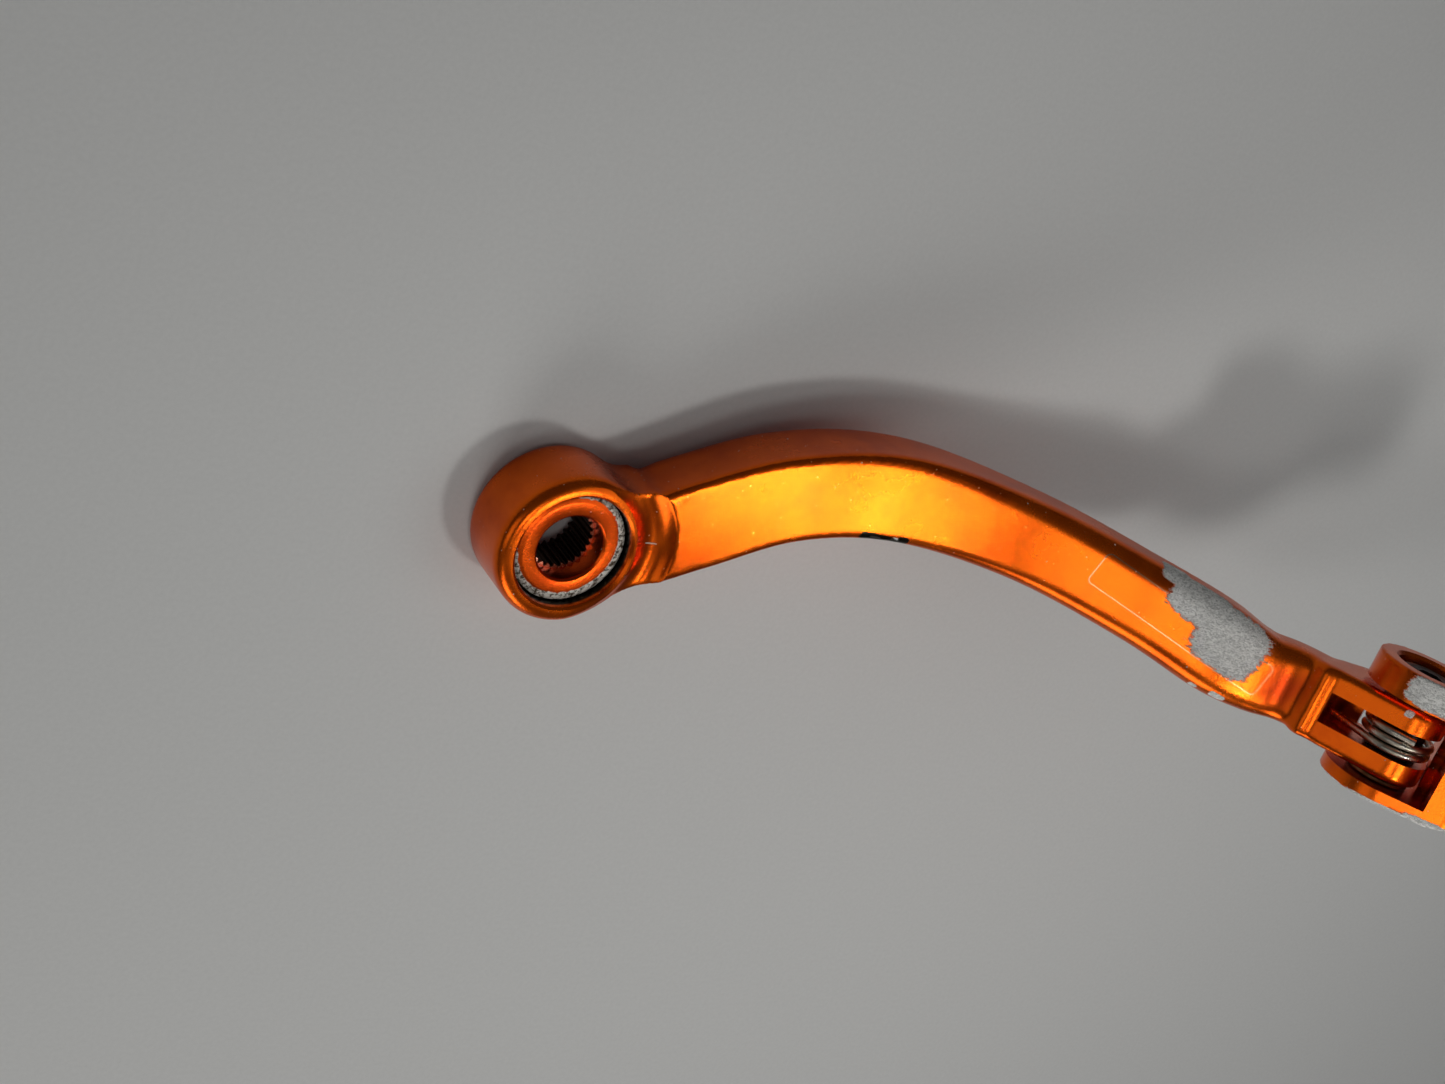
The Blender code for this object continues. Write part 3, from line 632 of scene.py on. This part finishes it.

# ---- Splined bush ----
# A turned and broached ring pressed into the eye, anodised with the rest. Its collar fills the
# recess. The collar's edge is rubbed bare by the shaft's washer and flecked with dirt; painted
# shade darkens the bore and the gap beside the collar, where the eye's groove also holds grit.
BUSH_RADIUS = 12.5
BUSH_BORE = 7.9
BUSH_TOP = 15.7
COLLAR_RADIUS = 13.3
SPLINE_TOP = 10.5
TEETH = 26
TOOTH_MIDDLE = 7.4
TOOTH_RISE = 0.42
POINTS_A_TOOTH = 10
bush_outline = [(BUSH_BORE, BUSH_TOP - 0.5), (BUSH_BORE + 0.5, BUSH_TOP), (11.3, BUSH_TOP)]
bush_outline += [(12.4, 15.45), (COLLAR_RADIUS, 14.9), (COLLAR_RADIUS, RECESS_FLOOR + GAP)]
bush_outline += [(BUSH_RADIUS, RECESS_FLOOR + GAP), (BUSH_RADIUS, 0.4), (BUSH_RADIUS - 0.4, 0.0)]
bush_outline += [(BUSH_BORE + 0.3, 0.0), (BUSH_BORE, 0.3)]
bush = turned("spline_ring", rounded(bush_outline, 0.12, 2), 208)
bush_inside = turned("spline_wall", [(BUSH_BORE + 0.2, SPLINE_TOP), (BUSH_BORE + 0.2, 0.0),
                                     (6.4, 0.0), (6.4, SPLINE_TOP)], 208)
change_by(bush, bush_inside, "UNION")
bpy.ops.object.select_all(action="DESELECT")
bpy.ops.mesh.primitive_circle_add(vertices=TEETH * POINTS_A_TOOTH, fill_type="NGON")
broach = bpy.context.object
for i, vertex in enumerate(broach.data.vertices):
    angle = math.tau * i / (TEETH * POINTS_A_TOOTH)
    wave = math.cos(TEETH * angle)
    lobe = math.copysign(abs(wave) ** 0.7, wave)
    radius = (TOOTH_MIDDLE - TOOTH_RISE * lobe) * MM
    vertex.co = (radius * math.cos(angle), radius * math.sin(angle), -0.002)
bpy.ops.object.mode_set(mode="EDIT")
bpy.ops.mesh.select_all(action="SELECT")
bpy.ops.mesh.extrude_region_move(TRANSFORM_OT_translate={"value": (0, 0, 0.0128)})
bpy.ops.object.mode_set(mode="OBJECT")
close_mesh(broach)
change_by(bush, broach, "DIFFERENCE")
bush_finish, tree, shader, coordinates, _ = anodised(
    "red_orange_anodised", (0.84, 0.10, 0.004), (0.66, 0.06, 0.003))
place = add_node(tree, "ShaderNodeSeparateXYZ", Vector=coordinates)
flat_place = add_node(tree, "ShaderNodeVectorMath", "MULTIPLY", i0=coordinates, i1=(1, 1, 0))
radius = add_node(tree, "ShaderNodeVectorMath", "LENGTH", i0=flat_place.outputs[0]).outputs["Value"]
smudge = grain(tree, coordinates, 420.0, 6.0, 0.7)
lean = add_node(tree, "ShaderNodeVectorMath", "DOT_PRODUCT", i0=coordinates,
                i1=(0.75, -0.66, 0.0)).outputs["Value"]
worn_reach = radius
for part, share in ((smudge, 0.0018), (lean, 0.09)):
    worn_reach = add_node(tree, "ShaderNodeMath", "MULTIPLY_ADD", i0=part, i1=share,
                          i2=worn_reach).outputs[0]
worn_edge = ramp(tree, worn_reach, 0.01265, 0.01275)
dirt = ramp(tree, grain(tree, coordinates, 1000.0, 6.0, 0.75), 0.47, 0.56)
worn_colour = blend_colours(tree, dirt, (0.92, 0.88, 0.80), (0.07, 0.042, 0.018))
tree.links.new(ramp(tree, worn_edge, 0.0, 1.0, 0.92, 0.30), shader.inputs["Metallic"])
bush_satin = shader.inputs["Roughness"].links[0].from_socket
worn_satin = add_node(tree, "ShaderNodeMix", Factor=worn_edge, i2=bush_satin, i3=0.6).outputs[0]
tree.links.new(worn_satin, shader.inputs["Roughness"])
under = shader.inputs["Base Color"].links[0].from_socket
rubbed_colour = blend_colours(tree, worn_edge, under, worn_colour)
# Painted shade: the splined bore below the teeth's tops and the collar's wall down in the gap are
# painted near black.
low_down = ramp(tree, place.outputs["Z"], 0.0106, 0.0098)
in_hole = add_node(tree, "ShaderNodeMath", "MULTIPLY", i0=ramp(tree, radius, 0.0081, 0.0080),
                   i1=low_down).outputs[0]
sunk = add_node(tree, "ShaderNodeMath", "MULTIPLY", i0=ramp(tree, radius, 0.01315, 0.01325),
                i1=ramp(tree, place.outputs["Z"], 0.0148, 0.0140)).outputs[0]
bore_and_gap_shade = either(tree, [in_hole, sunk])
shaded_bush_colour = blend_colours(tree, bore_and_gap_shade, rubbed_colour, (0.03, 0.012, 0.006))
tooth_end = add_node(tree, "ShaderNodeMath", "MULTIPLY", i0=ramp(tree, radius, 0.00784, 0.00780),
                     i1=ramp(tree, place.outputs["Z"], 0.01040, 0.01046)).outputs[0]
tree.links.new(blend_colours(tree, tooth_end, shaded_bush_colour, (0.98, 0.60, 0.42)),
               shader.inputs["Base Color"])
finish_piece(bush, "splined_bush", bush_finish)
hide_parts("spline_bush")
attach(bush, "lever")

# ---- Folding peg ----
# One forging: two ears that clasp the fork, a heel that stops it, and a foot bar with grip
# grooves. Same orange anodising; the ears' open edges and outer rims are rubbed bare.
EAR_RADIUS = 13.0
EAR_INNER = 10.9
EAR_UPPER = -18.1
EAR_LOWER = 14.3
PEG_LENGTH = 58.0
TIP_HALF_DEPTH = 8.0
TIP_HALF_WIDTH = 10.5
TIP_ROUND = 3.0
side_outline = arc((0.0, 0.0), EAR_RADIUS, 82, 278, 60)
side_outline += [(17.0, 1.6 - EAR_RADIUS), (28.0, -TIP_HALF_DEPTH)]
side_outline += arc((PEG_LENGTH - TIP_ROUND, TIP_ROUND - TIP_HALF_DEPTH), TIP_ROUND, 270, 360, 8)
side_outline += arc((PEG_LENGTH - TIP_ROUND, TIP_HALF_DEPTH - TIP_ROUND), TIP_ROUND, 0, 90, 8)
side_outline += [(28.0, TIP_HALF_DEPTH), (17.0, EAR_RADIUS - 1.6)]
peg = cut_plate("peg", side_outline, EAR_UPPER, EAR_LOWER, peg_frame)
front_outline = [(-20.0, EAR_UPPER), (14.0, EAR_UPPER), (30.0, -TIP_HALF_WIDTH)]
front_outline += arc((PEG_LENGTH - TIP_ROUND, TIP_ROUND - TIP_HALF_WIDTH), TIP_ROUND, 270, 360, 8)
front_outline += arc((PEG_LENGTH - TIP_ROUND, TIP_HALF_WIDTH - TIP_ROUND), TIP_ROUND, 0, 90, 8)
front_outline += [(30.0, TIP_HALF_WIDTH), (14.0, EAR_LOWER), (-20.0, EAR_LOWER)]
quarter_turn = Matrix.Rotation(math.pi / 2, 4, "X")
front_form = cut_plate("front_form", front_outline, -20.0, 20.0, peg_frame @ quarter_turn)
change_by(peg, front_form, "INTERSECT")
peg = forge([peg], "folding_peg", 0.00042, 8)
HEEL_STOP = 9.6                   # from the hinge to the pad that stops the peg at the fork's back
POCKET_FLOOR = 12.0
pocket_outline = rounded([(-20.0, -20.0), (HEEL_STOP, -20.0), (HEEL_STOP, 0.0),
                          (POCKET_FLOOR, 1.5), (POCKET_FLOOR, 20.0), (-20.0, 20.0)], 0.5, 3)
pocket = cut_plate("pocket", pocket_outline, -EAR_INNER, EAR_INNER, peg_frame)
change_by(peg, pocket, "DIFFERENCE")
HEAD_SEAT = EAR_UPPER + 4.6
HEAD_RECESS = 8.4
PIN_RADIUS = 4.0
pin_hole = turned("pin_hole", [
    (0.0, 20.0), (PIN_RADIUS + GAP, 20.0), (PIN_RADIUS + GAP, HEAD_SEAT), (HEAD_RECESS, HEAD_SEAT),
    (HEAD_RECESS, EAR_UPPER + 0.8), (HEAD_RECESS + 0.8, EAR_UPPER), (HEAD_RECESS + 0.8, -24.0),
    (0.0, -24.0)], 128, peg_frame)
change_by(peg, pin_hole, "DIFFERENCE")
GRIP_GROOVES = 6
GRIP_STEP = 3.6
grooves = []
for number in range(GRIP_GROOVES):
    start = PEG_LENGTH - 6.5 - GRIP_STEP * number
    groove_outline = [(start - 1.0, 9.9), (start - 0.75, 9.4), (start + 0.75, 9.4),
                      (start + 1.0, 9.9), (start + 1.4, 12.0), (start - 1.4, 12.0)]
    for side in (-1, 1):
        grooves.append(cut_plate("groove", [(x, y * side) for x, y in groove_outline], -16.0, 16.0,
                                 peg_frame @ quarter_turn))
bpy.ops.object.select_all(action="DESELECT")
for groove in grooves:
    groove.select_set(True)
bpy.context.view_layer.objects.active = grooves[0]
bpy.ops.object.join()
change_by(peg, grooves[0], "DIFFERENCE")
peg_out = tuple(peg_frame.col[1][:3])
peg_along = tuple(peg_frame.col[0][:3])


def on_peg(x, y, z):
    """A point in the peg's own frame, mm, as mm in the whole object's frame."""
    return tuple((peg_frame @ Vector((x * MM, y * MM, z * MM))) / MM)


peg_rubbed = (
    (on_peg(3.5, 13.2, -14.8), (9.0, 1.5, 3.6), peg_along, peg_out),
    (on_peg(17.0, 12.3, -15.5), (7.0, 1.6, 2.6), peg_along, peg_out),
    (on_peg(6.0, 12.8, 14.3), (13.0, 2.0, 0.8), peg_along, peg_out),
    (on_peg(18.0, 11.5, 13.9), (10.0, 2.0, 1.5), peg_along, peg_out),
    (on_peg(-10.0, 8.5, 14.4), (3.0, 3.0, 0.5), peg_along, peg_out),
    (on_peg(45.0, 8.4, 0.0), (15.0, 0.7, 9.0), peg_along, peg_out),
)
peg_finish = anodised("orange_anodised_peg", ORANGE, DEEP_ORANGE, peg_rubbed)[0]
finish_piece(peg, "folding_foot_peg", peg_finish)
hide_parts("peg")
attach(peg, "peg")

# ---- Pivot pin and its clip ----
# A blackened steel pin, its head with a hexagon socket sunk in the upper ear, held under the
# lower ear by a spring clip that sits in the pin's groove.
def steel(name, light, dark, roughness):
    """Worn steel: oily smudges over a fine machined grain."""
    made, tree, shader, coordinates = new_finish(name)
    smudges = grain(tree, coordinates, 300.0, 6.0, 0.65)
    fine = grain(tree, coordinates, 5000.0, 3.0, 0.6)
    colour = blend_colours(tree, ramp(tree, smudges, 0.35, 0.65), dark, light)
    tree.links.new(colour, shader.inputs["Base Color"])
    shader.inputs["Metallic"].default_value = 1.0
    tree.links.new(ramp(tree, smudges, 0.3, 0.7, roughness + 0.12, roughness - 0.05),
                   shader.inputs["Roughness"])
    bump = add_node(tree, "ShaderNodeBump", Height=fine, Strength=0.2, Distance=0.0001)
    tree.links.new(bump.outputs["Normal"], shader.inputs["Normal"])
    return made


HEAD_RADIUS = 7.4
HEAD_TOP = HEAD_SEAT - GAP - 2.6
CLIP_LOW = EAR_LOWER + GAP
CLIP_HIGH = CLIP_LOW + 1.0
GROOVE_RADIUS = 3.5
PIN_END = CLIP_HIGH + 0.7
SOCKET_FLATS = 6.0
pin_outline = [(0.0, PIN_END), (PIN_RADIUS - 0.4, PIN_END), (PIN_RADIUS, PIN_END - 0.4)]
pin_outline += [(PIN_RADIUS, CLIP_HIGH + 0.1), (GROOVE_RADIUS, CLIP_HIGH + 0.1)]
pin_outline += [(GROOVE_RADIUS, CLIP_LOW - 0.1), (PIN_RADIUS, CLIP_LOW - 0.1)]
pin_outline += [(PIN_RADIUS, HEAD_SEAT - GAP), (HEAD_RADIUS, HEAD_SEAT - GAP)]
pin_outline += [(HEAD_RADIUS, HEAD_TOP + 0.6), (HEAD_RADIUS - 0.6, HEAD_TOP), (0.0, HEAD_TOP)]
pin = turned("pivot_pin", rounded(pin_outline, 0.15, 3), 96, peg_frame)
hexagon = arc((0.0, 0.0), SOCKET_FLATS / math.sqrt(3), 0, 300, 5)
socket = cut_plate("socket", rounded(hexagon, 0.2, 2), HEAD_TOP - 1.0, HEAD_TOP + 2.0, peg_frame)
change_by(pin, socket, "DIFFERENCE")
black_steel = steel("blackened_steel", (0.10, 0.10, 0.105), (0.03, 0.03, 0.032), 0.4)
finish_piece(pin, "hinge_pin", black_steel)
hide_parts("pivot_pin")
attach(pin, "peg")

CLIP_RADIUS = 6.6
clip_outline = arc((0.0, 0.0), CLIP_RADIUS, 35, 325, 64)
clip_outline += reversed(arc((0.0, 0.0), GROOVE_RADIUS + 0.12, 50, 310, 48))
clip = cut_plate("clip", rounded(clip_outline, 0.2, 1), CLIP_LOW, CLIP_HIGH, peg_frame, 0.15)
spring_steel = steel("spring_steel", (0.66, 0.62, 0.54), (0.42, 0.38, 0.30), 0.27)
finish_piece(clip, "pin_retaining_clip", spring_steel)
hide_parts("pin_clip")
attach(clip, "peg")

# ---- Hinge bushes and spring sleeve ----
# Two flanged bushes of oil-soaked bronze, pressed into the fork's ears from outside, and between
# them a blackened spool that centres the spring.
bronze, tree, shader, coordinates = new_finish("sintered_bronze")
pores = grain(tree, coordinates, 3200.0, 3.0, 0.6)
patina = grain(tree, coordinates, 260.0, 5.0, 0.6)
tree.links.new(blend_colours(tree, ramp(tree, patina, 0.35, 0.65), (0.26, 0.16, 0.07),
                             (0.50, 0.34, 0.16)), shader.inputs["Base Color"])
shader.inputs["Metallic"].default_value = 1.0
tree.links.new(ramp(tree, pores, 0.3, 0.7, 0.55, 0.38), shader.inputs["Roughness"])
pore_bump = add_node(tree, "ShaderNodeBump", Height=pores, Strength=0.4, Distance=0.0001)
tree.links.new(pore_bump.outputs["Normal"], shader.inputs["Normal"])
PIN_FIT = PIN_RADIUS + 0.1
FLANGE = 0.8
FLANGE_RADIUS = 7.5
for name, node, side in (("upper_hinge_bush", "fork_bush_upper", -1),
                         ("lower_hinge_bush", "fork_bush_lower", 1)):
    seat = FORK_HALF_WIDTH + GAP
    bush_ring = [(PIN_FIT, seat + FLANGE), (FLANGE_RADIUS, seat + FLANGE), (FLANGE_RADIUS, seat),
                 (BUSH_OUTER, seat), (BUSH_OUTER, SLOT_HALF_WIDTH), (PIN_FIT, SLOT_HALF_WIDTH)]
    facing = fork_frame @ Matrix.Rotation(0.0 if side > 0 else math.pi, 4, "X")
    hinge_bush = turned(name, rounded(bush_ring, 0.15, 3), 96, facing)
    finish_piece(hinge_bush, name, bronze)
    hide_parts(node)
    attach(hinge_bush, "lever")

SPOOL_RADIUS = 6.4
SPOOL_HALF = SLOT_HALF_WIDTH - GAP
waist = SPOOL_RADIUS - 0.3
sleeve_ring = [(PIN_FIT, SPOOL_HALF), (SPOOL_RADIUS, SPOOL_HALF), (SPOOL_RADIUS, 3.0), (waist, 2.6),
               (waist, -2.6), (SPOOL_RADIUS, -3.0), (SPOOL_RADIUS, -SPOOL_HALF),
               (PIN_FIT, -SPOOL_HALF)]
sleeve = turned("sleeve", rounded(sleeve_ring, 0.15, 3), 96, fork_frame)
finish_piece(sleeve, "spring_spool", black_steel)
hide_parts("spring_sleeve")
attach(sleeve, "lever")

# ---- Fold spring ----
# Round spring wire wound twice round the spool. One leg lies along the slot to its end wall; the
# other is a short stub on the peg's side, clear of the peg's web in every position.
WIRE = 1.9
COIL_RADIUS = 8.0
COIL_TURNS = 2.0
LEG_ANGLE = 120.0
COIL_STEPS = 64
low = -(WIRE + 0.35) * COIL_TURNS / 2
leg_start = Vector((math.cos(math.radians(LEG_ANGLE)), math.sin(math.radians(LEG_ANGLE))))
leg_start *= COIL_RADIUS
tangent = Vector((leg_start.y, -leg_start.x)).normalized()
leg_run = (leg_start.x + SLOT_DEPTH - 1.6) / tangent.x
wire_path = []
for step in range(7):
    wire_path.append((*(leg_start - tangent * leg_run * (1 - step / 6)), -low))
total_turn = 360.0 * COIL_TURNS + LEG_ANGLE - 90.0
steps = round(total_turn / 360.0 * COIL_STEPS)
for i in range(1, steps + 1):
    angle = math.radians(LEG_ANGLE - total_turn * i / steps)
    height = -low + 2 * low * i / steps
    wire_path.append((COIL_RADIUS * math.cos(angle), COIL_RADIUS * math.sin(angle), height))
wire_path += [(2.4, COIL_RADIUS, low), (4.6, COIL_RADIUS, low)]
bpy.ops.object.select_all(action="DESELECT")
bpy.ops.curve.primitive_nurbs_path_add()
spring = bpy.context.object
wire = spring.data
wire.splines.clear()
strand = wire.splines.new("POLY")
strand.points.add(len(wire_path) - 1)
for point, position in zip(strand.points, wire_path):
    point.co = (*(value * MM for value in position), 1.0)
wire.bevel_depth = WIRE / 2 * MM
wire.bevel_resolution = 5
wire.use_fill_caps = True
bpy.ops.object.convert(target="MESH")
spring = bpy.context.object
close_mesh(spring)
set_down(spring, fork_frame)
finish_piece(spring, "torsion_spring", spring_steel, 45.0)
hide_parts("fold_spring")
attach(spring, "lever")
